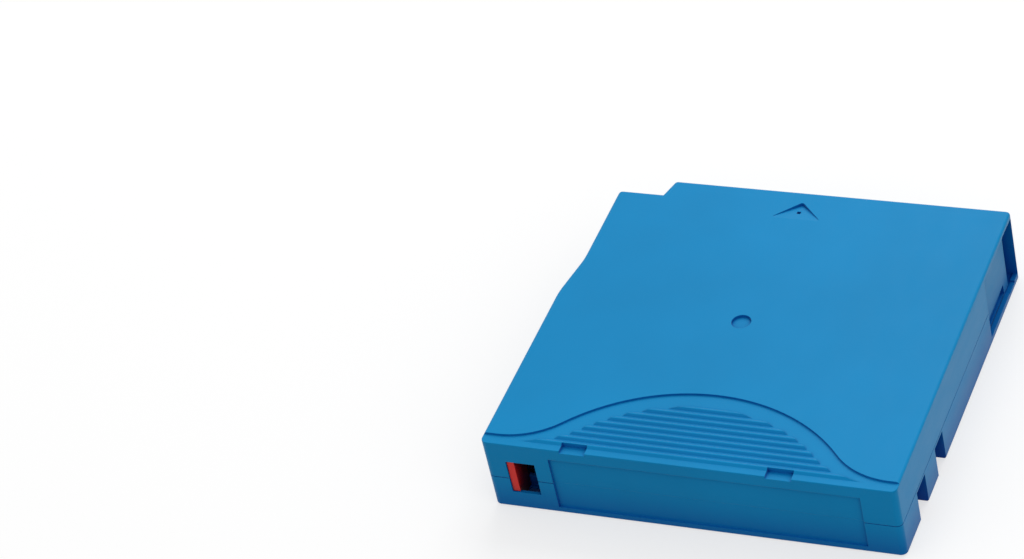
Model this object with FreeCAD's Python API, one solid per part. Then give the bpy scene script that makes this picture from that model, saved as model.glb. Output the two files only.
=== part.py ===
import FreeCAD, Part
import math
import os

# A single-reel cartridge for half-inch tape, in millimetres. +X is the door side, +Y the end that goes into
# the drive, +Z the top, and the origin is the middle of the base.

# Case
case_width = 105.4
case_depth = 102.0
case_height = 21.5
seam_height = 9.8
wall = 1.8
floor_thickness = 2.0
rear_corner_radius = 1.6
front_corner_radius = 1.1
top_round = 0.8
bottom_chamfer = 0.4
seam_groove = 0.2
lip_thickness = 0.8
lip_height = 0.9
lip_play = 0.08

# Insertion guide: the cut front left corner and the narrower left flank behind it
guide_front_y = 45.3
guide_step_x = -37.6
guide_step_slant = 0.8
guide_flank_x = -50.5
guide_ramp_front_y = 18.0
guide_ramp_rear_y = 4.8
guide_ramp_radius = 25.0

# Grip area at the rear of the top
grip_x = 0.5
grip_depth = 0.5
grip_radius = 47.4
grip_front_y = -26.1
grip_shoulder_y = -48.0
grip_shoulder_radius = 20.0
rib_count = 9
rib_pitch = 2.1
rib_front_y = -31.4
rib_area_front_y = -30.8
rib_area_radius = 42.7
rib_area_shoulder_y = -49.0
rib_base = 1.6
rib_crest = 0.4
rear_slot_width = 6.6
rear_slot_x = (-28.7, 23.7)
rear_slot_y = -48.3
rear_slot_depth = 1.2

# Arrow and dimple on the top
arrow_x = -0.8
arrow_base_y = 40.3
arrow_tip_y = 47.0
arrow_width = 13.4
arrow_depth = 0.85
arrow_base_round = 0.5
arrow_tip_round = 0.7
arrow_dot_half = 0.5
arrow_dot_y = 43.3
dimple_radius = 2.5
dimple_depth = 0.7

# Rear face
label_left_x = -35.5
label_right_x = 43.5
label_low_z = 1.8
label_high_z = 17.7
label_depth = 0.6
window_left_x = -47.1
window_right_x = -39.5
window_low_z = 5.2
window_high_z = 15.2
window_wall = 0.9

# Notches in the flanks that a library's gripper takes hold of
notch_spans = ((-38.6, -31.9), (-23.3, -16.9))
notch_depth = 3.0
notch_height = 9.0
notch_wall = 1.3

# Tape opening and its door in the right flank
opening_rear_y = 25.3
opening_front_y = 50.0
opening_sill_z = 1.8
opening_lintel_z = 19.9
door_inner_x = 49.8
door_thickness = 1.5
door_rear_y = 21.5
door_bend_y = 45.6
door_low_z = 1.4
door_high_z = 20.1
door_lip_inner_x = 48.5
door_lip_thickness = 1.2
door_lip_front_y = 49.7
door_lip_low_z = 2.1
door_lip_high_z = 19.4
door_recess_depth = 0.9
door_recess_front_y = 42.0
door_recess_top_z = 4.6
door_play = 0.15
door_travel = 22.0
groove_low_z = 1.3
groove_high_z = 20.2
spring_x = 49.3
spring_z = 5.0
lug_half_height = 1.3
lug_thickness = 1.2
door_spring_radius = 1.1
door_spring_inner = 0.75
spring_anchor_y = -13.5
spring_anchor_length = 1.7
spring_anchor_top = 7.0

# Reel
reel_x = -2.2
reel_y = 0.5
hub_radius = 22.0
hub_bore_radius = 19.8
hub_top_z = 17.2
web_high_z = 4.9
flange_radius = 47.2
flange_low_z = 2.8
flange_high_z = 4.3
upper_flange_top_z = 18.5
well_inner_radius = 48.5
well_thickness = 1.4
well_arc_middles = (125.0, 225.0, 315.0)
well_arc_half_angle = 20.0
tape_width = 12.65
pack_radius = 45.6
pack_low_z = 4.375
film_thickness = 0.12
film_gap = 0.2

# Drive side of the hub: a ring of face teeth around a steel plate
chuck_opening_radius = 17.2
drive_tooth_count = 45
drive_tooth_tip_z = 1.3
drive_tooth_inner = 12.7
drive_tooth_outer = 16.4
drive_tooth_base = 1.15
drive_tooth_crest = 0.5
plate_inner_radius = 4.5
plate_outer_radius = 11.9
plate_low_z = 1.6

# Brake: teeth on three towers of the hub, and on the button above them
brake_tooth_count = 24
brake_inner = 10.6
brake_outer = 13.2
brake_tooth_base = 1.6
brake_tooth_crest = 0.8
brake_tooth_height = 1.0
tower_top_z = 7.4
tower_half_angle = 38.0
brake_mesh_gap = 0.15
button_radius = 13.8
button_top_z = 10.0
button_stem_radius = 5.6
button_stem_top = 14.8
button_slot_floor = 10.9
key_width = 1.6
key_length = 9.0
key_low_z = 12.7
key_play = 0.15
brake_spring_inner = 5.9
brake_spring_outer = 6.9

# Release pad: three legs through the hub that the drive lifts
leg_inner = 12.9
leg_outer = 16.1
leg_width = 3.2
leg_play = 0.2
leg_low_z = 2.1
leg_angles = (90.0, 210.0, 330.0)
pad_low_z = 5.0
pad_high_z = 6.2
pad_radius = 4.5
pad_top_z = 8.4

# Leader pin, its clip and its leaf spring
pin_x = 45.6
pin_y = 44.6
pin_low_z = 1.45
pin_high_z = 20.05
pin_radius = 1.3
pin_disc_radius = 2.3
pin_end_disc = 1.0
pin_seat_radius = 2.45
pin_seat_depth = 0.6
clip_inner_radius = 1.5
clip_outer_radius = 2.1
clip_margin = 0.2
leaf_thickness = 0.25
leaf_y = 48.95
leaf_foot_span = (34.2, 42.5)
leaf_holder_span = (35.0, 40.5)
leaf_holder_gap = 0.35
leaf_holder_wall = 0.9

# Write-protect slider
slider_low_z = 2.15
slider_high_z = 16.0
slider_tab_width = 1.9
slider_play = 0.12
slider_thickness = 1.0
slider_left_reach = 1.6
slider_pocket = (-49.0, -39.0)
slider_fence_y = -44.6
slider_nook = (-51.2, -33.5)
nook_rear_y = -49.4
nook_front_y = -44.0
nook_wall = 1.0
sense_slot = (-46.5, -41.0, -48.3, -46.0)

# Screw bosses, each with a well for its screw's head in the base
screw_places = ((-43.6, 38.6), (35.5, 40.0), (-41.0, -38.0), (37.5, -38.0))
screw_post_half = 2.5
screw_boss_half = 3.3
screw_well_radius = 2.75
screw_well_depth = 2.2

# Locating holes in the base
locating_radius = 2.3
locating_depth = 6.0
locating_block_wall = 1.4
locating_hole_at = (-45.2, 32.5)
locating_slot_at = (41.2, 32.4)
locating_slot_stretch = 1.6

# Memory board, tilted so that it faces both down and back
chip_x = 44.9
chip_width = 9.0
chip_length = 9.6
chip_thickness = 0.8
chip_centre_y = -44.9
chip_centre_z = 6.9
chip_die = 3.4

half_width = case_width / 2
half_depth = case_depth / 2
floor_top = floor_thickness
ceiling = case_height - floor_thickness
door_outer_x = door_inner_x + door_thickness
well_outer_radius = well_inner_radius + well_thickness
pack_high_z = pack_low_z + tape_width
reel_axis = (reel_x, reel_y)
cut_past = 1.0


def vec(x, y, z=0.0):
    return FreeCAD.Vector(x, y, z)


def box(low, high):
    sizes = [b - a for a, b in zip(low, high)]
    return Part.makeBox(*sizes, vec(*low))


def post(centre, radius, low, high):
    return Part.makeCylinder(radius, high - low, vec(*centre, low))


def square_post(centre, half, low, high):
    x, y = centre
    return box((x - half, y - half, low), (x + half, y + half, high))


def tube(centre, inner, outer, low, high):
    return post(centre, outer, low, high).cut(post(centre, inner, low - cut_past, high + cut_past))


def sector(centre, inner, outer, low, high, middle, half_angle):
    """Part of a ring, half_angle degrees to each side of the direction middle."""
    base = vec(*centre, low)
    up = vec(0, 0, 1)
    piece = Part.makeCylinder(outer, high - low, base, up, 2 * half_angle)
    piece.rotate(base, up, middle - half_angle)
    return piece.cut(post(centre, inner, low - cut_past, high + cut_past))


def turned(profile, centre):
    """A solid of revolution from (radius, height) points."""
    points = [vec(r, 0, z) for r, z in profile]
    face = Part.Face(Part.makePolygon(points + points[:1]))
    solid = face.revolve(vec(0, 0), vec(0, 0, 1), 360)
    solid.translate(vec(*centre))
    return solid


def rounded_wire(corners):
    """A closed wire through (x, y, radius) corners, with a tangent arc wherever the radius isn't 0."""
    points = [vec(x, y) for x, y, radius in corners]
    bends = []
    for i, (x, y, radius) in enumerate(corners):
        here = points[i]
        back = (points[i - 1] - here).normalize()
        ahead = (points[(i + 1) % len(points)] - here).normalize()
        half = back.getAngle(ahead) / 2
        reach = radius / math.tan(half)
        middle = (back + ahead).normalize() * (radius / math.sin(half) - radius)
        bends.append((here + back * reach, here + middle, here + ahead * reach, radius))
    edges = []
    for i, (start, middle, end, radius) in enumerate(bends):
        if radius > 0:
            edges.append(Part.Arc(start, middle, end).toShape())
        following = bends[(i + 1) % len(bends)][0]
        edges.append(Part.LineSegment(end, following).toShape())
    return Part.Wire(edges)


def prism(face, low, high):
    face = face.copy()
    face.translate(vec(0, 0, low))
    return face.extrude(vec(0, 0, high - low))


def edges_at(solid, height):
    return [e for e in solid.Edges if all(abs(v.Z - height) < 1e-6 for v in e.Vertexes)]


def case_face(inset=0.0):
    """The case's outline seen from above, or the same outline moved inwards."""
    corners = [
        (-half_width, -half_depth, rear_corner_radius),
        (half_width, -half_depth, rear_corner_radius),
        (half_width, half_depth, front_corner_radius),
        (guide_step_x + guide_step_slant, half_depth, front_corner_radius),
        (guide_step_x - guide_step_slant, guide_front_y, 0),
        (guide_flank_x, guide_front_y, front_corner_radius),
        (guide_flank_x, guide_ramp_front_y, guide_ramp_radius),
        (-half_width, guide_ramp_rear_y, guide_ramp_radius),
    ]
    face = Part.Face(rounded_wire(corners))
    if inset == 0:
        return face
    return face.makeOffset2D(-inset)


def seam_lip(thickness, low, high):
    """Ribs along the straight walls that key the two shells together, measured out from the inner faces."""
    rear = half_depth - wall
    side = half_width - wall
    return [
        box((-36.0, -rear - thickness, low), (46.0, -rear + 0.01, high)),
        box((-33.0, rear - 0.01, low), (33.0, rear + thickness, high)),
        box((side - 0.01, -46.0, low), (side + thickness, -2.0, high)),
        box((-side - thickness, -46.0, low), (-side + 0.01, 3.0, high)),
    ]


def inner_space(low, high):
    """The room inside the walls, let a little way into them so that what stands in it joins them."""
    return prism(case_face(wall - 0.4), low, high)


def well_wall(low, high):
    """Arcs that guard the reel's rim in the case's corners, away from the one where the tape leaves."""
    room = inner_space(low, high)
    radii = (well_inner_radius, well_outer_radius)
    return [
        sector(reel_axis, *radii, low, high, middle, well_arc_half_angle).common(room)
        for middle in well_arc_middles
    ]


def opening_cut():
    """The tape opening in the right flank, as deep as the door's lip behind it."""
    return box(
        (door_lip_inner_x - door_play, opening_rear_y, opening_sill_z),
        (half_width + cut_past, opening_front_y, opening_lintel_z),
    )


def door_track():
    """The room the door slides in: grooves in the floor and the ceiling, and a thinner wall between them."""
    return box(
        (door_inner_x - door_play, door_rear_y - door_travel - 1.0, groove_low_z),
        (door_outer_x + door_play, opening_front_y, groove_high_z),
    )


def pin_seat_cut(low, high):
    """Round seat for the leader pin's end, open towards the door."""
    side = pin_seat_radius
    way_out = box((pin_x, pin_y - side, low), (half_width + cut_past, pin_y + side, high))
    return post((pin_x, pin_y), side, low, high).fuse(way_out)


def window_cut():
    return box(
        (window_left_x, -half_depth - cut_past, window_low_z),
        (window_right_x, -half_depth + wall + 0.2, window_high_z),
    )


def slider_pocket_cut():
    """Shallow pocket inside the rear wall, which leaves it thin around the window."""
    left, right = slider_pocket
    return box(
        (left, -half_depth + window_wall, slider_low_z - slider_play),
        (right, -half_depth + wall + 0.01, slider_high_z + slider_play),
    )


def label_cut():
    return box(
        (label_left_x, -half_depth - cut_past, label_low_z),
        (label_right_x, -half_depth + label_depth, label_high_z),
    )


def leaf_holder(low, high):
    """Rib that traps the leaf spring's foot against the front wall."""
    left, right = leaf_holder_span
    front = leaf_y - leaf_holder_gap
    return box((left, front - leaf_holder_wall, low), (right, front, high))


def slider_fence(low, high):
    """Rib behind the write-protect slider."""
    left, right = slider_nook
    return box((left, slider_fence_y, low), (right, slider_fence_y + nook_wall, high))


def grip_face(front_y, radius, shoulder_y):
    """A round front, two reversed bends and straight shoulders, open over the case's rear corners."""
    big_centre_y = front_y - radius
    small_centre_y = shoulder_y + grip_shoulder_radius
    apart = radius + grip_shoulder_radius
    rise = small_centre_y - big_centre_y
    reach = math.sqrt(apart**2 - rise**2)
    join_x = reach * radius / apart
    join_y = big_centre_y + rise * radius / apart
    lean = math.pi / 2 - math.atan2(rise, reach)
    bend_x = reach - grip_shoulder_radius * math.sin(lean / 2)
    bend_y = small_centre_y - grip_shoulder_radius * math.cos(lean / 2)
    outer_x = half_width + cut_past
    outer_y = -half_depth - cut_past

    def at(x, y):
        return vec(grip_x + x, y)

    outline = [
        Part.LineSegment(at(-outer_x - grip_x, outer_y), at(outer_x, outer_y)),
        Part.LineSegment(at(outer_x, outer_y), at(outer_x, shoulder_y)),
        Part.LineSegment(at(outer_x, shoulder_y), at(reach, shoulder_y)),
        Part.Arc(at(reach, shoulder_y), at(bend_x, bend_y), at(join_x, join_y)),
        Part.Arc(at(join_x, join_y), at(0, front_y), at(-join_x, join_y)),
        Part.Arc(at(-join_x, join_y), at(-bend_x, bend_y), at(-reach, shoulder_y)),
        Part.LineSegment(at(-reach, shoulder_y), at(-outer_x - grip_x, shoulder_y)),
        Part.LineSegment(at(-outer_x - grip_x, shoulder_y), at(-outer_x - grip_x, outer_y)),
    ]
    return Part.Face(Part.Wire([segment.toShape() for segment in outline]))


def grip_ribs():
    """Low ribs across the grip area, with their ends on a smaller outline of the same form."""
    low = case_height - grip_depth
    ribs = []
    for number in range(rib_count):
        y = rib_front_y - number * rib_pitch
        section = Part.makePolygon([
            vec(-half_width, y - rib_base / 2, low),
            vec(-half_width, y + rib_base / 2, low),
            vec(-half_width, y + rib_crest / 2, case_height),
            vec(-half_width, y - rib_crest / 2, case_height),
            vec(-half_width, y - rib_base / 2, low),
        ])
        ribs.append(Part.Face(section).extrude(vec(case_width, 0)))
    area = grip_face(rib_area_front_y, rib_area_radius, rib_area_shoulder_y)
    area = prism(area, low - cut_past, case_height)
    return [rib.common(area) for rib in ribs]


def arrow_cut():
    """Arrow head that points into the drive, its floor sloping down from the base to the tip."""
    reach = arrow_width / 2
    corners = [
        (arrow_x - reach, arrow_base_y, arrow_base_round),
        (arrow_x + reach, arrow_base_y, arrow_base_round),
        (arrow_x, arrow_tip_y, arrow_tip_round),
    ]
    head = prism(Part.Face(rounded_wire(corners)), case_height - 2 * arrow_depth, case_height + cut_past)
    slope = Part.makePolygon([
        vec(arrow_x - arrow_width, arrow_base_y, case_height),
        vec(arrow_x - arrow_width, arrow_tip_y, case_height - arrow_depth),
        vec(arrow_x - arrow_width, arrow_tip_y, case_height + cut_past),
        vec(arrow_x - arrow_width, arrow_base_y, case_height + cut_past),
        vec(arrow_x - arrow_width, arrow_base_y, case_height),
    ])
    wedge = Part.Face(slope).extrude(vec(2 * arrow_width, 0))
    dot = square_post((arrow_x, arrow_dot_y), arrow_dot_half, case_height - arrow_depth - 0.2, case_height)
    return head.common(wedge).fuse(dot)


def upper_shell():
    shell = prism(case_face(), seam_height, case_height)
    shell = shell.makeFillet(top_round, edges_at(shell, case_height))
    shell = shell.cut(prism(case_face(wall), seam_height - cut_past, ceiling))
    grip = grip_face(grip_front_y, grip_radius, grip_shoulder_y)
    shell = shell.cut(prism(grip, case_height - grip_depth, case_height + cut_past))
    added = grip_ribs()
    for place in screw_places:
        added.append(square_post(place, screw_post_half, seam_height + 0.05, ceiling + 0.1))
    half_key = key_length / 2
    for along, across in ((half_key, key_width / 2), (key_width / 2, half_key)):
        added.append(box(
            (reel_x - along, reel_y - across, key_low_z),
            (reel_x + along, reel_y + across, ceiling + 0.1),
        ))
    added.append(leaf_holder(13.5, ceiling + 0.1))
    added.append(slider_fence(window_high_z + 0.3, ceiling + 0.1))
    slider_top = slider_high_z + slider_play
    left, right = slider_nook
    added.append(box((left, nook_rear_y, slider_top), (right, nook_front_y, slider_top + nook_wall)))
    added.append(box((right - nook_wall, nook_rear_y, slider_top), (right, nook_front_y, ceiling + 0.1)))
    shell = shell.multiFuse(added)
    removed = [opening_cut(), door_track(), window_cut(), slider_pocket_cut(), label_cut(), arrow_cut()]
    removed += seam_lip(lip_thickness + lip_play, seam_height - cut_past, seam_height + lip_height + lip_play)
    removed.append(pin_seat_cut(ceiling - 0.01, ceiling + pin_seat_depth))
    removed.append(post(reel_axis, dimple_radius, case_height - dimple_depth, case_height + cut_past))
    for x in rear_slot_x:
        removed.append(box(
            (x - rear_slot_width / 2, -half_depth - cut_past, case_height - rear_slot_depth),
            (x + rear_slot_width / 2, rear_slot_y, case_height + cut_past),
        ))
    return shell.cut(removed).removeSplitter()


def notch(side, span):
    """A gripper notch, open at the flank and the base."""
    y_low, y_high = span
    inner = side * (half_width - notch_depth)
    outer = side * (half_width + cut_past)
    return box((min(inner, outer), y_low, -cut_past), (max(inner, outer), y_high, notch_height))


def notch_backing(side):
    """The thickened wall behind the two notches of one flank."""
    y_low = notch_spans[0][0] - notch_wall
    y_high = notch_spans[1][1] + notch_wall
    inner = side * (half_width - notch_depth - notch_wall)
    outer = side * (half_width - wall + 0.4)
    return box((min(inner, outer), y_low, floor_top - 0.1), (max(inner, outer), y_high, seam_height))


def chip_cradle():
    """Two ramps that the memory board leans on."""
    rest = chip_thickness / 2
    drop = rest * math.sqrt(2)
    foot_y = chip_centre_y + chip_centre_z - floor_top - drop
    rear_y = -half_depth + wall - 0.2
    top_z = floor_top + foot_y - rear_y
    ramps = []
    for x in (chip_x - chip_width / 2 + 0.4, chip_x + chip_width / 2 - 1.6):
        side = Part.makePolygon([
            vec(x, rear_y, floor_top - 0.1),
            vec(x, foot_y, floor_top - 0.1),
            vec(x, foot_y, floor_top),
            vec(x, rear_y, top_z),
            vec(x, rear_y, floor_top - 0.1),
        ])
        below_seam = box((x - cut_past, rear_y, 0), (x + 1.2 + cut_past, foot_y, seam_height - 0.1))
        ramps.append(Part.Face(side).extrude(vec(1.2, 0)).common(below_seam))
    return ramps


def locating_block(centre, stretch):
    """The block inside the case that a locating hole is sunk into."""
    x, y = centre
    reach = locating_radius + locating_block_wall
    return box((x - reach - stretch, y - reach, floor_top - 0.1),
               (x + reach + stretch, y + reach, locating_depth + 1.2))


def locating_slot():
    """A hole stretched along X, so that the cartridge can't bind on two pins."""
    x, y = locating_slot_at
    reach = locating_slot_stretch / 2
    ends = [post((x + side * reach, y), locating_radius, -cut_past, locating_depth) for side in (-1, 1)]
    middle = box((x - reach, y - locating_radius, -cut_past),
                 (x + reach, y + locating_radius, locating_depth))
    return middle.multiFuse(ends)


def lower_shell():
    shell = prism(case_face(), 0, seam_height)
    shell = shell.makeChamfer(bottom_chamfer, edges_at(shell, 0))
    shell = shell.cut(prism(case_face(wall), floor_top, seam_height + cut_past))
    added = seam_lip(lip_thickness, seam_height - 0.5, seam_height + lip_height)
    added += [notch_backing(-1), notch_backing(1)]
    added += well_wall(floor_top - 0.1, seam_height - 1.0)
    for place in screw_places:
        added.append(square_post(place, screw_boss_half, floor_top - 0.1, seam_height))
    added.append(locating_block(locating_hole_at, 0))
    added.append(locating_block(locating_slot_at, locating_slot_stretch / 2))
    added.append(box(
        (spring_x - 1.5, spring_anchor_y - spring_anchor_length, floor_top - 0.1),
        (half_width - wall + 0.3, spring_anchor_y, spring_anchor_top),
    ))
    added.append(leaf_holder(floor_top - 0.1, 8.0))
    added.append(slider_fence(floor_top - 0.1, window_low_z - 0.3))
    added += chip_cradle()
    shell = shell.multiFuse(added)
    removed = [opening_cut(), door_track(), window_cut(), slider_pocket_cut(), label_cut()]
    outside = box((-half_width - cut_past, -half_depth - cut_past, seam_height - seam_groove),
                  (half_width + cut_past, half_depth + cut_past, seam_height))
    removed.append(outside.cut(prism(case_face(seam_groove), 0, seam_height + cut_past)))
    removed.append(post(reel_axis, chuck_opening_radius, -cut_past, floor_top + cut_past))
    removed.append(pin_seat_cut(floor_top - pin_seat_depth, floor_top + 0.01))
    for place in screw_places:
        removed.append(post(place, screw_well_radius, -cut_past, screw_well_depth))
    removed.append(post(locating_hole_at, locating_radius, -cut_past, locating_depth))
    removed.append(locating_slot())
    left, right, rear, front = sense_slot
    removed.append(box((left, rear, -cut_past), (right, front, floor_top + cut_past)))
    for side in (-1, 1):
        for span in notch_spans:
            removed.append(notch(side, span))
    return shell.cut(removed).removeSplitter()


def face_teeth(inner, outer, root_z, tip_z, base, crest, angles):
    """Straight teeth on a ring, each a prism along the radius that narrows from its base to its crest."""
    teeth = []
    buried = root_z - 0.2 if tip_z > root_z else root_z + 0.2
    for angle in angles:
        section = Part.makePolygon([
            vec(inner, -base / 2, buried),
            vec(inner, -base / 2, root_z),
            vec(inner, -crest / 2, tip_z),
            vec(inner, crest / 2, tip_z),
            vec(inner, base / 2, root_z),
            vec(inner, base / 2, buried),
            vec(inner, -base / 2, buried),
        ])
        tooth = Part.Face(section).extrude(vec(outer - inner, 0))
        tooth.rotate(vec(0, 0), vec(0, 0, 1), angle)
        tooth.translate(vec(*reel_axis))
        teeth.append(tooth)
    return teeth


def angle_between(a, b):
    return abs((a - b + 180) % 360 - 180)


def reel_hub():
    """Hub, lower flange, drive teeth and brake teeth in one moulding."""
    hub = turned([
        (0, flange_low_z),
        (flange_radius, flange_low_z),
        (flange_radius, flange_high_z),
        (hub_radius, flange_high_z),
        (hub_radius, hub_top_z),
        (hub_bore_radius, hub_top_z),
        (hub_bore_radius, web_high_z),
        (0, web_high_z),
    ], reel_axis)
    pitch = 360 / drive_tooth_count
    hole_half = leg_width / 2 + leg_play
    hole_reach = math.degrees((hole_half + drive_tooth_base / 2 + 0.1) / drive_tooth_inner)
    drive_angles = [
        i * pitch for i in range(drive_tooth_count)
        if all(angle_between(i * pitch, leg) > hole_reach for leg in leg_angles)
    ]
    added = face_teeth(drive_tooth_inner, drive_tooth_outer, flange_low_z, drive_tooth_tip_z,
                       drive_tooth_base, drive_tooth_crest, drive_angles)
    tower_angles = [leg + 60 for leg in leg_angles]
    brake_pitch = 360 / brake_tooth_count
    brake_angles = [
        i * brake_pitch for i in range(brake_tooth_count)
        if any(angle_between(i * brake_pitch, tower) < tower_half_angle - 2 for tower in tower_angles)
    ]
    for tower in tower_angles:
        added.append(sector(reel_axis, brake_inner, brake_outer, web_high_z - 0.1, tower_top_z,
                            tower, tower_half_angle))
        for offset in (-24, 24):
            added.append(spoke(tower + offset, (brake_outer - 0.4, -0.5, web_high_z - 0.1),
                               (hub_bore_radius + 0.4, 0.5, tower_top_z)))
    added += face_teeth(brake_inner, brake_outer, tower_top_z, tower_top_z + brake_tooth_height,
                        brake_tooth_base, brake_tooth_crest, brake_angles)
    hub = hub.multiFuse(added)
    holes = [
        spoke(angle, (leg_inner - leg_play, -hole_half, 0),
              (leg_outer + leg_play, hole_half, web_high_z + cut_past))
        for angle in leg_angles
    ]
    return hub.cut(holes).removeSplitter()


def spoke(angle, low, high):
    """A box given along the reel's radius at angle 0, turned to its own angle."""
    piece = box(low, high)
    piece.rotate(vec(0, 0), vec(0, 0, 1), angle)
    piece.translate(vec(*reel_axis))
    return piece


def upper_flange():
    return tube(reel_axis, hub_bore_radius - 0.6, flange_radius, hub_top_z, upper_flange_top_z)


def reel_plate():
    """Steel ring that the drive's magnet pulls."""
    return tube(reel_axis, plate_inner_radius, plate_outer_radius, plate_low_z, flange_low_z)


def tape_pack():
    return tube(reel_axis, hub_radius, pack_radius, pack_low_z, pack_high_z)


def film_direction():
    """Angle of the side of the pack, and of the pin, that the tape's straight run touches."""
    run_x = pin_x - reel_x
    run_y = pin_y - reel_y
    difference = pack_radius + film_gap - pin_radius - 0.02
    return math.atan2(run_y, run_x) + math.acos(difference / math.hypot(run_x, run_y))


def round_place(centre, radius, angle):
    return vec(centre[0] + radius * math.cos(angle), centre[1] + radius * math.sin(angle))


def tape_lead():
    """The tape's free end: straight from the pack to the leader pin, then round the pin under its clip."""
    touch = film_direction()
    wrap = math.radians(150)
    pin = (pin_x, pin_y)
    near = pin_radius + 0.02
    far = near + film_thickness
    pack_near = pack_radius + film_gap
    edges = [
        Part.LineSegment(round_place(reel_axis, pack_near, touch), round_place(pin, near, touch)),
        Part.Arc(round_place(pin, near, touch), round_place(pin, near, touch - wrap / 2),
                 round_place(pin, near, touch - wrap)),
        Part.LineSegment(round_place(pin, near, touch - wrap), round_place(pin, far, touch - wrap)),
        Part.Arc(round_place(pin, far, touch - wrap), round_place(pin, far, touch - wrap / 2),
                 round_place(pin, far, touch)),
        Part.LineSegment(round_place(pin, far, touch),
                         round_place(reel_axis, pack_near + film_thickness, touch)),
        Part.LineSegment(round_place(reel_axis, pack_near + film_thickness, touch),
                         round_place(reel_axis, pack_near, touch)),
    ]
    face = Part.Face(Part.Wire([edge.toShape() for edge in edges]))
    return prism(face, pack_low_z, pack_high_z)


def leader_pin():
    """Turned pin with a head at each end, which the drive grips behind."""
    low_head = pin_low_z + pin_end_disc
    high_head = pin_high_z - pin_end_disc
    return turned([
        (0, pin_low_z),
        (pin_disc_radius, pin_low_z),
        (pin_disc_radius, low_head),
        (pin_radius, low_head),
        (pin_radius, high_head),
        (pin_disc_radius, high_head),
        (pin_disc_radius, pin_high_z),
        (0, pin_high_z),
    ], (pin_x, pin_y))


def leader_pin_clip():
    """C-shaped snap clip, open where the tape runs onto the pin."""
    open_middle = math.degrees(film_direction()) + 42
    low = pack_low_z - clip_margin
    high = pack_high_z + clip_margin
    return sector((pin_x, pin_y), clip_inner_radius, clip_outer_radius, low, high, open_middle + 180, 140)


def pin_retainer():
    """Leaf spring: a foot along the front wall and two arms that press on the pin beside its heads."""
    half = leaf_thickness / 2
    hold = math.radians(40)
    contact = pin_radius + half + 0.02
    touch = round_place((pin_x, pin_y), contact, hold)
    along = vec(-math.sin(hold), math.cos(hold))
    start, end = leaf_foot_span
    path = [vec(start, leaf_y), vec(end, leaf_y), touch + along * 2.2, touch - along * 1.0]
    leaf = prism(strip_face(path, leaf_thickness, 0.8), 2.7, 18.8)
    window = box((41.5, 40, 3.7), (50, 50, 17.8))
    return leaf.cut(window)


def strip_face(path, thickness, bend_radius):
    """Plan of a bent strip: the path moved half a thickness to each side, with rounded bends."""
    corners = []
    for side in (1, -1):
        line = path if side == 1 else path[::-1]
        for i, here in enumerate(line):
            into = (here - line[i - 1]).normalize() if i else (line[1] - here).normalize()
            out = (line[i + 1] - here).normalize() if i + 1 < len(line) else into
            normal_in = vec(-into.y, into.x)
            normal_out = vec(-out.y, out.x)
            mitre = (normal_in + normal_out).normalize()
            spot = here + mitre * (thickness / 2 / mitre.dot(normal_in))
            turn = into.x * out.y - into.y * out.x
            if abs(turn) < 1e-9:
                radius = 0.0
            else:
                radius = bend_radius + thickness / 2 * (-1 if turn > 0 else 1)
            corners.append((spot.x, spot.y, radius))
    return Part.Face(rounded_wire(corners))


def sliding_door():
    """Flat door that bends inwards to a lip for the drive's finger, with a recess along its foot."""
    plate = box((door_inner_x, door_rear_y, door_low_z), (door_outer_x, door_bend_y, door_high_z))
    lip_outer_x = door_lip_inner_x + door_lip_thickness
    bend = box((door_lip_inner_x, door_bend_y - door_lip_thickness, door_lip_low_z),
               (door_outer_x, door_bend_y, door_lip_high_z))
    lip = box((door_lip_inner_x, door_bend_y - door_lip_thickness, door_lip_low_z),
              (lip_outer_x, door_lip_front_y, door_lip_high_z))
    lug = box((spring_x - door_spring_radius, door_rear_y, spring_z - lug_half_height),
              (door_outer_x, door_rear_y + lug_thickness, spring_z + lug_half_height))
    recess = box((door_outer_x - door_recess_depth, opening_rear_y, opening_sill_z),
                 (door_outer_x + cut_past, door_recess_front_y, door_recess_top_z))
    return plate.multiFuse([bend, lip, lug]).cut(recess).removeSplitter()


def door_spring():
    start = vec(spring_x, spring_anchor_y, spring_z)
    length = door_rear_y - spring_anchor_y
    coil = Part.makeCylinder(door_spring_radius, length, start, vec(0, 1, 0))
    return coil.cut(Part.makeCylinder(door_spring_inner, length, start, vec(0, 1, 0)))


def brake_button():
    """Brake disc with teeth below and a stem above that slides on the case's cross-shaped key."""
    root_z = tower_top_z + brake_mesh_gap + brake_tooth_height
    button = turned([
        (0, root_z),
        (button_radius, root_z),
        (button_radius, button_top_z),
        (button_stem_radius, button_top_z),
        (button_stem_radius, button_stem_top),
        (0, button_stem_top),
    ], reel_axis)
    pitch = 360 / brake_tooth_count
    angles = [(i + 0.5) * pitch for i in range(brake_tooth_count)]
    teeth = face_teeth(brake_inner, brake_outer, root_z, root_z - brake_tooth_height,
                       brake_tooth_base, brake_tooth_crest, angles)
    button = button.multiFuse(teeth)
    half_key = key_length / 2 + key_play
    slots = []
    for along, across in ((half_key, key_width / 2 + key_play), (key_width / 2 + key_play, half_key)):
        slots.append(box(
            (reel_x - along, reel_y - across, button_slot_floor),
            (reel_x + along, reel_y + across, button_stem_top + cut_past),
        ))
    return button.cut(slots).removeSplitter()


def brake_spring():
    """Spring round the button's stem, as a plain tube."""
    return tube(reel_axis, brake_spring_inner, brake_spring_outer, button_top_z + 0.05, ceiling - 0.05)


def release_pad():
    """Three arms round a boss, each with a leg through the hub."""
    half = leg_width / 2
    added = []
    for angle in leg_angles:
        added.append(spoke(angle, (0, -half, pad_low_z), (leg_outer, half, pad_high_z)))
        added.append(spoke(angle, (leg_inner, -half, leg_low_z), (leg_outer, half, pad_high_z)))
    return post(reel_axis, pad_radius, pad_low_z, pad_top_z).multiFuse(added).removeSplitter()


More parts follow.
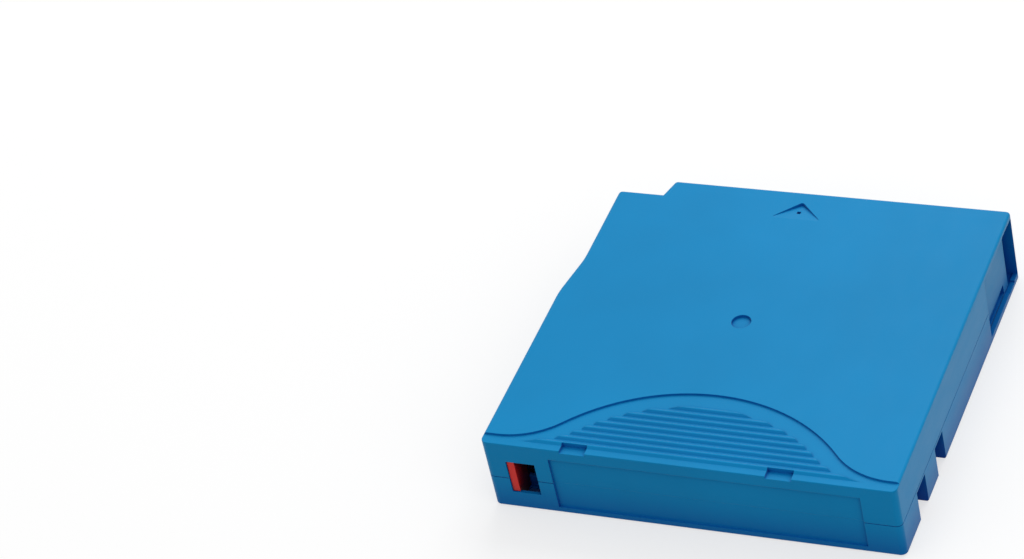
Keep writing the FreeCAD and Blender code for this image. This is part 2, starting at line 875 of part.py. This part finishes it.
def write_protect_slider():
    """Tab in the window, a plate behind the rear wall, and a side that runs back to the fence."""
    wall_y = -half_depth + window_wall + slider_play
    tab_left = window_left_x + slider_play
    tab_right = tab_left + slider_tab_width
    plate = box((tab_left - slider_left_reach, wall_y, slider_low_z),
                (tab_right, wall_y + slider_thickness, slider_high_z))
    tab = box((tab_left, -half_depth + 0.3, window_low_z + slider_play),
              (tab_right, wall_y + 0.1, window_high_z - slider_play))
    side = box((tab_right - slider_thickness, wall_y, slider_low_z),
               (tab_right, slider_fence_y - slider_play, slider_high_z))
    return plate.multiFuse([tab, side]).removeSplitter()


def memory_chip():
    """Small circuit board with its chip, leaning at 45 degrees."""
    board = box((-chip_width / 2, -chip_length / 2, -chip_thickness / 2),
                (chip_width / 2, chip_length / 2, chip_thickness / 2))
    die = box((-chip_die / 2, -chip_die / 2, chip_thickness / 2 - 0.1),
              (chip_die / 2, chip_die / 2, chip_thickness / 2 + 0.6))
    board = board.fuse(die).removeSplitter()
    board.rotate(vec(0, 0), vec(1, 0), -45)
    board.translate(vec(chip_x, chip_centre_y, chip_centre_z))
    return board


def build():
    return {
        "upper_shell": upper_shell(),
        "lower_shell": lower_shell(),
        "write_protect_slider": write_protect_slider(),
        "sliding_door": sliding_door(),
        "door_spring": door_spring(),
        "reel_hub": reel_hub(),
        "upper_flange": upper_flange(),
        "reel_plate": reel_plate(),
        "tape_pack": tape_pack(),
        "tape_lead": tape_lead(),
        "leader_pin": leader_pin(),
        "leader_pin_clip": leader_pin_clip(),
        "pin_retainer": pin_retainer(),
        "brake_button": brake_button(),
        "brake_spring": brake_spring(),
        "release_pad": release_pad(),
        "memory_chip": memory_chip(),
    }


if __name__ == "__main__":
    os.makedirs("parts", exist_ok=True)
    for name, shape in build().items():
        shape.exportStep(os.path.join("parts", name + ".step"))
        print(name, len(shape.Solids), "solid, valid", shape.isValid(), round(shape.Volume, 1), "mm3")
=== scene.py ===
import math

import bmesh
import bpy
from mathutils import Matrix, Vector


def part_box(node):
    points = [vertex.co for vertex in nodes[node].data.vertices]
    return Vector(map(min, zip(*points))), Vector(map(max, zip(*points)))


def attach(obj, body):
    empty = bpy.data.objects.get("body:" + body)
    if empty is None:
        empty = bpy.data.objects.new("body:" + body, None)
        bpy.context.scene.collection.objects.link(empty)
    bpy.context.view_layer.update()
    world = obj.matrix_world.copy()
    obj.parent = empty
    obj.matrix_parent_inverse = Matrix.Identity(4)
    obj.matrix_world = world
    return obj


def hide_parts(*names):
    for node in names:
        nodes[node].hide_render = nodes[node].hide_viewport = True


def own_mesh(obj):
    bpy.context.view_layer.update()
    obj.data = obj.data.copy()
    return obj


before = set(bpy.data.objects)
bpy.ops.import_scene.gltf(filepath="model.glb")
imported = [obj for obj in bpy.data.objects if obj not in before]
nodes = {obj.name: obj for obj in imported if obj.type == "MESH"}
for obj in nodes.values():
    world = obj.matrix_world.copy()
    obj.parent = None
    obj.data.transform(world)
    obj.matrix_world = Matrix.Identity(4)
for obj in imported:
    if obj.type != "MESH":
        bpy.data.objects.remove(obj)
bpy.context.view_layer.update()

scene = bpy.context.scene
mm = 0.001
white = (1, 1, 1, 1)
print("frame loaded with", len(nodes), "nodes")


def addNode(tree, kind, spot, **values):
    # a value goes to the input of that name, or else to the node's own setting
    node = tree.nodes.new(kind)
    node.location = spot
    for name, value in values.items():
        if name in node.inputs:
            node.inputs[name].default_value = value
        else:
            setattr(node, name, value)
    return node


def startMaterial(name, colour, **settings):
    mat = bpy.data.materials.new(name)
    mat.use_nodes = True
    mat.diffuse_color = (*colour, 1)
    bsdf = mat.node_tree.nodes["Principled BSDF"]
    bsdf.inputs["Base Color"].default_value = (*colour, 1)
    for key, value in settings.items():
        bsdf.inputs[key].default_value = value
    coords = addNode(mat.node_tree, "ShaderNodeTexCoord", (-1400, 0))
    return mat, bsdf, coords.outputs["Object"]


def wire(mat, output, bsdf, socket):
    mat.node_tree.links.new(output, bsdf.inputs[socket])


def noise(mat, coords, scale, spot, detail=2.0, roughness=0.5, stretch=None):
    tree = mat.node_tree
    if stretch:
        mapping = addNode(tree, "ShaderNodeMapping", (spot[0] - 200, spot[1]), Scale=stretch)
        tree.links.new(coords, mapping.inputs["Vector"])
        coords = mapping.outputs["Vector"]
    tex = addNode(tree, "ShaderNodeTexNoise", spot, Scale=scale, Detail=detail, Roughness=roughness)
    tree.links.new(coords, tex.inputs["Vector"])
    return tex.outputs["Fac"]


def axisDistance(mat, coords, centre):
    # how far a point is from the upright axis through centre
    tree = mat.node_tree
    shift = addNode(tree, "ShaderNodeVectorMath", (-1200, -100), operation="SUBTRACT")
    shift.inputs[1].default_value = centre
    flat = addNode(tree, "ShaderNodeVectorMath", (-1050, -100), operation="MULTIPLY")
    flat.inputs[1].default_value = (1, 1, 0)
    reach = addNode(tree, "ShaderNodeVectorMath", (-900, -100), operation="LENGTH")
    tree.links.new(coords, shift.inputs[0])
    tree.links.new(shift.outputs[0], flat.inputs[0])
    tree.links.new(flat.outputs[0], reach.inputs[0])
    return reach.outputs["Value"]


def ringNoise(mat, distance, scale, detail, spot):
    tex = addNode(mat.node_tree, "ShaderNodeTexNoise", spot,
                  noise_dimensions="1D", Scale=scale, Detail=detail)
    mat.node_tree.links.new(distance, tex.inputs["W"])
    return tex.outputs["Fac"]


def remap(mat, value, low, high, spot, start=0.3, end=0.7):
    # noise mostly lies between 0.3 and 0.7, so that is the span it is read over
    node = addNode(mat.node_tree, "ShaderNodeMapRange", spot)
    for key, number in (("From Min", start), ("From Max", end), ("To Min", low), ("To Max", high)):
        node.inputs[key].default_value = number
    mat.node_tree.links.new(value, node.inputs["Value"])
    return node.outputs["Result"]


def colourSockets(sockets):
    return [socket for socket in sockets if socket.type == "RGBA"]


def tint(mat, factor, colourA, colourB, spot):
    node = addNode(mat.node_tree, "ShaderNodeMix", spot, data_type="RGBA")
    first, second = colourSockets(node.inputs)
    first.default_value = (*colourA, 1)
    second.default_value = (*colourB, 1)
    mat.node_tree.links.new(factor, node.inputs["Factor"])
    return colourSockets(node.outputs)[0]


def shade(colour, amount):
    return tuple(min(1.0, c * amount) for c in colour)


def mottle(mat, factor, colour, amounts, spot):
    # the colour drifts between two shades of itself
    share = remap(mat, factor, 0, 1, spot)
    return tint(mat, share, shade(colour, amounts[0]), shade(colour, amounts[1]), (spot[0] + 200, spot[1]))


def paintCavityShade(mat, colour, look, spot):
    # painted shade: a darker, fuller colour in cavities and low on the walls, where little light comes in,
    # set by how open each spot is
    tree = mat.node_tree
    cavityShade = addNode(tree, "ShaderNodeAmbientOcclusion", spot, samples=8, Distance=look["cavityShadeReach"])
    share = remap(mat, cavityShade.outputs["AO"], 0, 1, (spot[0] + 200, spot[1]), *look["cavityShadeRange"])
    mixer = addNode(tree, "ShaderNodeMix", (spot[0] + 400, spot[1]), data_type="RGBA")
    first, second = colourSockets(mixer.inputs)
    first.default_value = (*look["cavityShade"], 1)
    tree.links.new(share, mixer.inputs["Factor"])
    tree.links.new(colour, second)
    return colourSockets(mixer.outputs)[0]


def bumpFrom(mat, height, distance, strength, spot, under=None):
    node = addNode(mat.node_tree, "ShaderNodeBump", spot, Strength=strength, Distance=distance)
    mat.node_tree.links.new(height, node.inputs["Height"])
    if under is not None:
        mat.node_tree.links.new(under, node.inputs["Normal"])
    return node.outputs["Normal"]


def roundEdges(mat, radius, spot):
    node = addNode(mat.node_tree, "ShaderNodeBevel", spot, samples=6, Radius=radius)
    return node.outputs["Normal"]


# scales of noise are per metre
casePlastic = {
    "colour": (0.002, 0.228, 0.505),
    # the door is the same plastic as the case, made darker as a painted shade
    "doorPaintedShade": 0.93,
    "mottle": (0.95, 1.05),
    "mottleScale": 26,
    "specular": 0.07,
    "index": 1.5,
    "sheen": 0.07,
    "sheenRoughness": 0.4,
    "roughness": (0.34, 0.42),
    "rubScale": 240,
    "rubStretch": (1.0, 0.35, 1.0),
    "grainScale": 3200,        # the spark-eroded grain of the mould
    "grainDepth": 0.012 * mm,
    "grainStrength": 0.6,
    "flowScale": 60,           # slow waves, as moulded walls have
    "flowDepth": 0.05 * mm,
    "flowStrength": 0.25,
    "edge": 0.15 * mm,
    # painted shade: the darker, fuller blue laid into cavities and low on the walls, near the floor
    "cavityShade": (0.0, 0.06, 0.33),
    "cavityShadeReach": 13 * mm,
    "cavityShadeRange": (0.25, 0.95),   # how open a spot is, from wholly deep to plain
}


def makeCasePlastic(name, colour):
    look = casePlastic
    mat, bsdf, coords = startMaterial(name, colour, **{
        "Specular IOR Level": look["specular"],
        "IOR": look["index"],
        "Sheen Weight": look["sheen"],
        "Sheen Roughness": look["sheenRoughness"],
    })
    cloud = noise(mat, coords, look["mottleScale"], (-1000, 500), detail=3)
    body = mottle(mat, cloud, colour, look["mottle"], (-800, 500))
    # the mottled blue, with painted shade in cavities and low on the walls
    wire(mat, paintCavityShade(mat, body, look, (-700, 800)), bsdf, "Base Color")
    rub = noise(mat, coords, look["rubScale"], (-1000, 150), detail=5, roughness=0.65,
                stretch=look["rubStretch"])
    wire(mat, remap(mat, rub, *look["roughness"], (-600, 150)), bsdf, "Roughness")
    rounded = roundEdges(mat, look["edge"], (-900, -300))
    grain = noise(mat, coords, look["grainScale"], (-900, -550), detail=1.5)
    flow = noise(mat, coords, look["flowScale"], (-900, -800), detail=1)
    wavy = bumpFrom(mat, flow, look["flowDepth"], look["flowStrength"], (-500, -500), rounded)
    bumpy = bumpFrom(mat, grain, look["grainDepth"], look["grainStrength"], (-250, -400), wavy)
    wire(mat, bumpy, bsdf, "Normal")
    return mat


# smooth mouldings: what they share, and then what is each one's own
plainPlastic = {
    "specular": 0.4,
    "glowDepth": 2 * mm,
    "mottle": (0.9, 1.06),
    "mottleScale": 90,
    "rubScale": 500,
    "rubRange": (-0.06, 0.08),     # either side of the piece's roughness
    "grainScale": 1500,
    "grainDepth": 0.01 * mm,
    "grainStrength": 0.5,
    "edge": 0.15 * mm,
    # painted shade, for the pieces that give a colour for it: how far the cavity test reaches, and the span
    # of openness over which the colour goes from shade to plain
    "cavityShadeReach": 10 * mm,
    "cavityShadeRange": (0.6, 0.9),
}
# the slider's red carries a painted shade, a near-black red deep in its window and recess
sliderPlastic = {"colour": (0.66, 0.012, 0.006), "roughness": 0.42, "glow": 0.0, "cavityShade": (0.03, 0.0, 0.0)}
reelPlastic = {"colour": (0.62, 0.64, 0.66), "roughness": 0.35, "glow": 0.25}
brakePlastic = {"colour": (0.74, 0.74, 0.7), "roughness": 0.38, "glow": 0.2}
clipPlastic = {"colour": (0.02, 0.02, 0.022), "roughness": 0.4, "glow": 0.0}


def makePlainPlastic(name, own):
    look = {**plainPlastic, **own}
    mat, bsdf, coords = startMaterial(name, look["colour"], **{
        "Specular IOR Level": look["specular"],
        "Subsurface Weight": look["glow"],
        "Subsurface Scale": look["glowDepth"],
    })
    cloud = noise(mat, coords, look["mottleScale"], (-1000, 400), detail=4)
    body = mottle(mat, cloud, look["colour"], look["mottle"], (-800, 400))
    # painted shade in cavities, where the piece has a colour for it
    if "cavityShade" in look:
        body = paintCavityShade(mat, body, look, (-700, 800))
    wire(mat, body, bsdf, "Base Color")
    rub = noise(mat, coords, look["rubScale"], (-1000, 100), detail=4)
    low, high = (look["roughness"] + change for change in look["rubRange"])
    wire(mat, remap(mat, rub, low, high, (-600, 100)), bsdf, "Roughness")
    rounded = roundEdges(mat, look["edge"], (-900, -300))
    fine = noise(mat, coords, look["grainScale"], (-900, -550))
    bumpy = bumpFrom(mat, fine, look["grainDepth"], look["grainStrength"], (-300, -300), rounded)
    wire(mat, bumpy, bsdf, "Normal")
    return mat


turnedSteel = {
    "mottle": (0.88, 1.05),
    "mottleScale": 140,
    "ringScale": 9000,
    "ringDepth": 0.004 * mm,
    "ringStrength": 0.5,
    "rubRange": (-0.08, 0.12),
    "edge": 0.1 * mm,
}
plateSteel = {"colour": (0.56, 0.56, 0.57), "roughness": 0.28}
pinSteel = {"colour": (0.66, 0.66, 0.67), "roughness": 0.2}
screwSteel = {"colour": (0.34, 0.34, 0.35), "roughness": 0.3}


def makeTurnedSteel(name, own, centre):
    # rings round an upright axis, as a lathe or a press leaves them
    look = {**turnedSteel, **own}
    mat, bsdf, coords = startMaterial(name, look["colour"], Metallic=1.0)
    rings = ringNoise(mat, axisDistance(mat, coords, centre), look["ringScale"], 2.0, (-700, -100))
    low, high = (look["roughness"] + change for change in look["rubRange"])
    wire(mat, remap(mat, rings, low, high, (-450, 0)), bsdf, "Roughness")
    cloud = noise(mat, coords, look["mottleScale"], (-700, 400), detail=3)
    wire(mat, mottle(mat, cloud, look["colour"], look["mottle"], (-500, 400)), bsdf, "Base Color")
    rounded = roundEdges(mat, look["edge"], (-700, -400))
    bumpy = bumpFrom(mat, rings, look["ringDepth"], look["ringStrength"], (-250, -300), rounded)
    wire(mat, bumpy, bsdf, "Normal")
    return mat


springWire = {
    "colour": (0.5, 0.5, 0.52),
    "mottle": (0.75, 1.1),
    "drawScale": 900,
    "drawStretch": (1, 1, 0.3),
    "drawDepth": 0.004 * mm,
    "drawStrength": 0.4,
    "roughness": (0.22, 0.4),
}


def makeSpringSteel(name):
    look = springWire
    mat, bsdf, coords = startMaterial(name, look["colour"], Metallic=1.0)
    drawn = noise(mat, coords, look["drawScale"], (-900, 300), detail=4, stretch=look["drawStretch"])
    wire(mat, mottle(mat, drawn, look["colour"], look["mottle"], (-600, 300)), bsdf, "Base Color")
    wire(mat, remap(mat, drawn, *look["roughness"], (-600, 0)), bsdf, "Roughness")
    wire(mat, bumpFrom(mat, drawn, look["drawDepth"], look["drawStrength"], (-300, -300)), bsdf, "Normal")
    return mat


woundTape = {
    "colour": (0.024, 0.016, 0.013),
    "mottle": (0.6, 1.5),
    "specular": 0.6,
    "coat": 0.25,
    "coatRoughness": 0.15,
    "roughness": (0.22, 0.42),
    "turnScale": 6000,
    "turnDepth": 0.01 * mm,
    "turnStrength": 0.6,
    "bandScale": 700,
}


def makeTape(name, centre):
    # wound edge: thousands of turns seen as fine, slightly uneven rings
    look = woundTape
    mat, bsdf, coords = startMaterial(name, look["colour"], **{
        "Specular IOR Level": look["specular"],
        "Coat Weight": look["coat"],
        "Coat Roughness": look["coatRoughness"],
    })
    distance = axisDistance(mat, coords, centre)
    turns = ringNoise(mat, distance, look["turnScale"], 3.0, (-700, -100))
    bands = ringNoise(mat, distance, look["bandScale"], 1.0, (-700, 200))
    wire(mat, mottle(mat, bands, look["colour"], look["mottle"], (-500, 300)), bsdf, "Base Color")
    wire(mat, remap(mat, turns, *look["roughness"], (-450, 0)), bsdf, "Roughness")
    wire(mat, bumpFrom(mat, turns, look["turnDepth"], look["turnStrength"], (-250, -300)), bsdf, "Normal")
    return mat


memoryBoard = {
    "colour": (0.012, 0.11, 0.045),
    "overCopper": (0.09, 0.2, 0.05),
    "roughness": 0.3,
    "trackScale": 320.0,
    "trackWobble": 0.4,
    "trackEdges": (0.55, 0.75),
    "trackDepth": 0.03 * mm,
    "trackStrength": 0.4,
}


def makeBoard(name):
    # solder resist over bare board and over the copper tracks round the chip
    look = memoryBoard
    mat, bsdf, coords = startMaterial(name, look["colour"], Roughness=look["roughness"])
    tree = mat.node_tree
    waves = addNode(tree, "ShaderNodeTexWave", (-800, 200), bands_direction="X",
                    Scale=look["trackScale"], Distortion=look["trackWobble"])
    tree.links.new(coords, waves.inputs["Vector"])
    tracks = waves.outputs["Fac"]
    share = remap(mat, tracks, 0, 1, (-500, 200), *look["trackEdges"])
    wire(mat, tint(mat, share, look["colour"], look["overCopper"], (-250, 200)), bsdf, "Base Color")
    bumpy = bumpFrom(mat, tracks, look["trackDepth"], look["trackStrength"], (-250, -300))
    wire(mat, bumpy, bsdf, "Normal")
    return mat


def axisOf(node):
    low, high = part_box(node)
    return ((low.x + high.x) / 2, (low.y + high.y) / 2, 0)


caseBlue = makeCasePlastic("case plastic", casePlastic["colour"])
# the door's blue is the case's blue made darker: a painted shade
doorBlue = makeCasePlastic("door plastic", shade(casePlastic["colour"], casePlastic["doorPaintedShade"]))
sliderRed = makePlainPlastic("slider plastic", sliderPlastic)
reelNatural = makePlainPlastic("reel plastic", reelPlastic)
brakeNatural = makePlainPlastic("brake plastic", brakePlastic)
clipBlack = makePlainPlastic("clip plastic", clipPlastic)
plateMetal = makeTurnedSteel("plate steel", plateSteel, axisOf("tape_pack"))
pinMetal = makeTurnedSteel("pin steel", pinSteel, axisOf("leader_pin"))
screwMetal = makeTurnedSteel("screw steel", screwSteel, (0, 0, 0))
springMetal = makeSpringSteel("spring steel")
tapeBrown = makeTape("wound tape", axisOf("tape_pack"))
boardGreen = makeBoard("memory board")

finishes = {
    "upper_shell": caseBlue,
    "lower_shell": caseBlue,
    "sliding_door": doorBlue,
    "write_protect_slider": sliderRed,
    "reel_hub": reelNatural,
    "upper_flange": reelNatural,
    "reel_plate": plateMetal,
    "tape_pack": tapeBrown,
    "tape_lead": tapeBrown,
    "leader_pin": pinMetal,
    "leader_pin_clip": clipBlack,
    "pin_retainer": springMetal,
    "brake_button": brakeNatural,
    "brake_spring": springMetal,
    "door_spring": springMetal,
    "release_pad": brakeNatural,
    "memory_chip": boardGreen,
}
for name, mat in finishes.items():
    nodes[name].data.materials.clear()
    nodes[name].data.materials.append(mat)
print("finishes on", len(finishes), "frame nodes")


def addMesh(name, bm, mat, smooth=True):
    mesh = bpy.data.meshes.new(name)
    bmesh.ops.recalc_face_normals(bm, faces=bm.faces)
    bm.to_mesh(mesh)
    bm.free()
    for face in mesh.polygons:
        face.use_smooth = smooth
    mesh.materials.append(mat)
    piece = bpy.data.objects.new(name, mesh)
    scene.collection.objects.link(piece)
    return piece


def coilPoints(look, radius, length):
    # the end turns lie flat, the ones between are open
    turns, wireRadius, closed = look["turns"], look["wire"], look["closedTurns"]
    count = int(turns * look["perTurn"])
    rise = 2 * wireRadius
    openPitch = (length - 2 * wireRadius - 2 * closed * rise) / (turns - 2 * closed)
    points = []
    for i in range(count + 1):
        turn = turns * i / count
        if turn < closed:
            height = turn * rise
        elif turn > turns - closed:
            height = length - 2 * wireRadius - (turns - turn) * rise
        else:
            height = closed * rise + (turn - closed) * openPitch
        angle = turn * 2 * math.pi
        points.append(Vector((radius * math.cos(angle), radius * math.sin(angle), wireRadius + height)))
    return points


def sweep(points, radius, sides):
    # a round wire along the points, closed at both ends
    bm = bmesh.new()
    rings = []
    for i, point in enumerate(points):
        along = (points[min(i + 1, len(points) - 1)] - points[max(i - 1, 0)]).normalized()
        outward = Vector((point.x, point.y, 0)).normalized()
        across = along.cross(outward).normalized()
        outward = across.cross(along)
        ring = []
        for side in range(sides):
            angle = 2 * math.pi * side / sides
            away = outward * radius * math.cos(angle) + across * radius * math.sin(angle)
            ring.append(bm.verts.new(point + away))
        rings.append(ring)
    for one, two in zip(rings, rings[1:]):
        for side in range(sides):
            bm.faces.new((one[side], one[side - 1], two[side - 1], two[side]))
    bm.faces.new(rings[0])
    bm.faces.new(rings[-1][::-1])
    return bm


def coilWire(look, width, length):
    # a coil as wide and as long as the space that its plain tube fills
    radius = width / 2 - look["wire"] - look["gap"]
    return sweep(coilPoints(look, radius, length), look["wire"], look["sides"])


# wire is a radius, and travel is what the moving piece takes off the coil's length
brakeSpring = {
    "turns": 5.5,
    "closedTurns": 1.0,
    "wire": 0.42 * mm,
    "gap": 0.02 * mm,
    "perTurn": 40,
    "sides": 10,
    "travel": 1.6 * mm,
}
doorSpring = {
    "turns": 34,
    "closedTurns": 1.0,
    "wire": 0.15 * mm,
    "gap": 0.02 * mm,
    "perTurn": 18,
    "sides": 8,
    "travel": 22 * mm,
}


def addBrakeCoil():
    low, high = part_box("brake_spring")
    coil = addMesh("brakeCoil", coilWire(brakeSpring, high.x - low.x, high.z - low.z), springMetal)
    coil.location = ((low.x + high.x) / 2, (low.y + high.y) / 2, low.z)
    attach(coil, "case")
    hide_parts("brake_spring")
    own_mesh(coil)


def addDoorCoil():
    low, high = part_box("door_spring")
    bm = coilWire(doorSpring, high.z - low.z, high.y - low.y)
    lieDown = Matrix.Rotation(-math.pi / 2, 3, "X")
    bmesh.ops.rotate(bm, verts=bm.verts, cent=(0, 0, 0), matrix=lieDown)
    coil = addMesh("doorCoil", bm, springMetal)
    coil.location = ((low.x + high.x) / 2, low.y, (low.z + high.z) / 2)
    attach(coil, "case")
    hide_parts("door_spring")
    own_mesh(coil)


addBrakeCoil()
addDoorCoil()
print("springs coiled")


# screw heads in the wells of the base
caseScrew = {
    "places": ((-43.6, 38.6), (35.5, 40.0), (-41.0, -38.0), (37.5, -38.0)),   # mm
    "turns": (12, 71, 40, 95),     # where each one's cross came to rest, in degrees
    "headRadius": 2.5 * mm,
    "tipHeight": 0.55 * mm,
    # share of the radius and height in mm, from beside the tip out to the seat
    "profile": ((0.35, 0.56), (0.62, 0.62), (0.84, 0.78), (0.96, 1.02), (1.0, 1.3), (1.0, 2.19)),
    "around": 56,
    "creaseAngle": 35,
    "crossLength": 1.5 * mm,
    "crossWidth": 0.42 * mm,
    "crossDepth": 0.85 * mm,
    "crossTaper": 0.62,            # the cross's bottom against its mouth
    "cutterStart": 0.3 * mm,
}


def screwHead(look):
    # a low dome that faces down, flat where it sits
    bm = bmesh.new()
    around = look["around"]
    tip = bm.verts.new((0, 0, look["tipHeight"]))
    rings = []
    for share, height in look["profile"]:
        r = share * look["headRadius"]
        ring = []
        for i in range(around):
            angle = 2 * math.pi * i / around
            ring.append(bm.verts.new((r * math.cos(angle), r * math.sin(angle), height * mm)))
        rings.append(ring)
    for i in range(around):
        bm.faces.new((tip, rings[0][i - 1], rings[0][i]))
    for one, two in zip(rings, rings[1:]):
        for i in range(around):
            bm.faces.new((one[i], one[i - 1], two[i - 1], two[i]))
    bm.faces.new(rings[-1])
    return bm


def crossCutter(look):
    # the driver's cross, wider at its mouth
    bm = bmesh.new()
    long, wide, taper = look["crossLength"], look["crossWidth"] / 2, look["crossTaper"]
    outline = [(wide, long), (-wide, long), (-wide, wide), (-long, wide), (-long, -wide), (-wide, -wide),
               (-wide, -long), (wide, -long), (wide, -wide), (long, -wide), (long, wide), (wide, wide)]
    floor = look["tipHeight"] + look["crossDepth"]
    mouth = [bm.verts.new((x, y, look["cutterStart"])) for x, y in outline]
    bottom = [bm.verts.new((x * taper, y * taper, floor)) for x, y in outline]
    bm.faces.new(mouth)
    bm.faces.new(bottom[::-1])
    for i in range(len(outline)):
        bm.faces.new((mouth[i - 1], mouth[i], bottom[i], bottom[i - 1]))
    return bm


def addScrew(number, place, turn):
    look = caseScrew
    head = addMesh("caseScrew" + str(number), screwHead(look), screwMetal)
    cross = addMesh("crossCutter", crossCutter(look), screwMetal, smooth=False)
    cut = head.modifiers.new("cross", "BOOLEAN")
    cut.object = cross
    cut.operation = "DIFFERENCE"
    cut.solver = "EXACT"
    graph = bpy.context.evaluated_depsgraph_get()
    head.data = bpy.data.meshes.new_from_object(head.evaluated_get(graph))
    head.modifiers.clear()
    bpy.data.objects.remove(cross)
    head.data.set_sharp_from_angle(angle=math.radians(look["creaseAngle"]))
    head.rotation_euler.z = math.radians(turn)
    head.location = (place[0] * mm, place[1] * mm, 0)
    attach(head, "case")


for number, (place, turn) in enumerate(zip(caseScrew["places"], caseScrew["turns"])):
    addScrew(number + 1, place, turn)
print("screws seated")


# floor, light and camera
studio = {
    "floor": 0.97,
    "floorRoughness": 0.9,
    "floorHalf": 4.0,
    "floorDrop": 0.02 * mm,
    "floorGlow": 0.6,       # how much of the floor's white doesn't depend on the lamps
    "floorBounce": 0.35,    # the floor's grey for the light that it throws back on the case
    "sky": 0.74,
    "keyPower": 9.0,
    "keyPlace": (0.05, 1.05, 1.0),
    "keySize": 1.0,
    "fillPower": 2.0,
    "fillPlace": (1.0, -0.6, 0.8),
    "fillSize": 0.9,
}
cameraView = {
    "place": (0.3014, -0.6368, 0.6200),
    "forward": (-0.38585, 0.67575, -0.62808),
    "roll": 13.815,
    "lens": 131.82,
    "sensorWidth": 36,
    "clipStart": 0.01,
}


def seenDirectly(tree, spot):
    # 1 for camera, mirror and glass rays, 0 for the light that falls on things
    path = addNode(tree, "ShaderNodeLightPath", spot)
    first = addNode(tree, "ShaderNodeMath", (spot[0] + 200, spot[1]), operation="MAXIMUM")
    second = addNode(tree, "ShaderNodeMath", (spot[0] + 400, spot[1]), operation="MAXIMUM")
    tree.links.new(path.outputs["Is Camera Ray"], first.inputs[0])
    tree.links.new(path.outputs["Is Glossy Ray"], first.inputs[1])
    tree.links.new(first.outputs[0], second.inputs[0])
    tree.links.new(path.outputs["Is Transmission Ray"], second.inputs[1])
    return second.outputs[0]


def makeFloorWhite(name):
    pale, bounce = (studio["floor"],) * 3, (studio["floorBounce"],) * 3
    mat, bsdf = startMaterial(name, pale, **{
        "Roughness": studio["floorRoughness"],
        "Specular IOR Level": 0.0,
    })[:2]
    tree = mat.node_tree
    wire(mat, tint(mat, seenDirectly(tree, (-1200, 300)), bounce, pale, (-400, 300)), bsdf, "Base Color")
    share = addNode(tree, "ShaderNodeMath", (-200, 500), operation="MULTIPLY")
    share.inputs[1].default_value = studio["floorGlow"]
    tree.links.new(seenDirectly(tree, (-900, 600)), share.inputs[0])
    glow = addNode(tree, "ShaderNodeEmission", (100, -300), Color=white, Strength=1.0)
    blend = addNode(tree, "ShaderNodeMixShader", (400, 300))
    tree.links.new(share.outputs[0], blend.inputs[0])
    tree.links.new(bsdf.outputs[0], blend.inputs[1])
    tree.links.new(glow.outputs[0], blend.inputs[2])
    tree.links.new(blend.outputs[0], tree.nodes["Material Output"].inputs["Surface"])
    return mat


def addFloor():
    bm = bmesh.new()
    bmesh.ops.create_grid(bm, x_segments=1, y_segments=1, size=studio["floorHalf"])
    floor = addMesh("floor", bm, makeFloorWhite("floor"), smooth=False)
    floor.location.z = -studio["floorDrop"]


def addSky():
    world = bpy.data.worlds.new("studio")
    scene.world = world
    world.use_nodes = True
    tree = world.node_tree
    tree.nodes.clear()
    out = addNode(tree, "ShaderNodeOutputWorld", (600, 0))
    mixer = addNode(tree, "ShaderNodeMixShader", (400, 0))
    lit = addNode(tree, "ShaderNodeBackground", (150, 100), Color=white, Strength=studio["sky"])
    seen = addNode(tree, "ShaderNodeBackground", (150, -100), Color=white, Strength=1.0)
    tree.links.new(seenDirectly(tree, (-500, 300)), mixer.inputs[0])
    tree.links.new(lit.outputs[0], mixer.inputs[1])
    tree.links.new(seen.outputs[0], mixer.inputs[2])
    tree.links.new(mixer.outputs[0], out.inputs[0])


def addSoftbox(name, place, size, power):
    # a square lamp that faces the cartridge
    light = bpy.data.lights.new(name, "AREA")
    light.shape = "SQUARE"
    light.size = size
    light.energy = power
    lamp = bpy.data.objects.new(name, light)
    lamp.location = place
    lamp.rotation_euler = (-Vector(place)).to_track_quat("-Z", "Y").to_euler()
    scene.collection.objects.link(lamp)


def addCamera():
    view = cameraView
    forward = Vector(view["forward"]).normalized()
    level = forward.cross(Vector((0, 0, 1))).normalized()
    upright = level.cross(forward)
    roll = math.radians(view["roll"])
    up = upright * math.cos(roll) + level * math.sin(roll)
    right = forward.cross(up)
    turn = Matrix((right, up, -forward)).transposed().to_4x4()
    data = bpy.data.cameras.new("camera")
    data.lens = view["lens"]
    data.sensor_width = view["sensorWidth"]
    data.sensor_fit = "HORIZONTAL"
    data.clip_start = view["clipStart"]
    camera = bpy.data.objects.new("camera", data)
    camera.matrix_world = Matrix.Translation(view["place"]) @ turn
    scene.collection.objects.link(camera)
    scene.camera = camera


addFloor()
addSky()
addSoftbox("keySoftbox", studio["keyPlace"], studio["keySize"], studio["keyPower"])
addSoftbox("fillSoftbox", studio["fillPlace"], studio["fillSize"], studio["fillPower"])
addCamera()
scene.view_settings.view_transform = "Standard"
print("studio set")
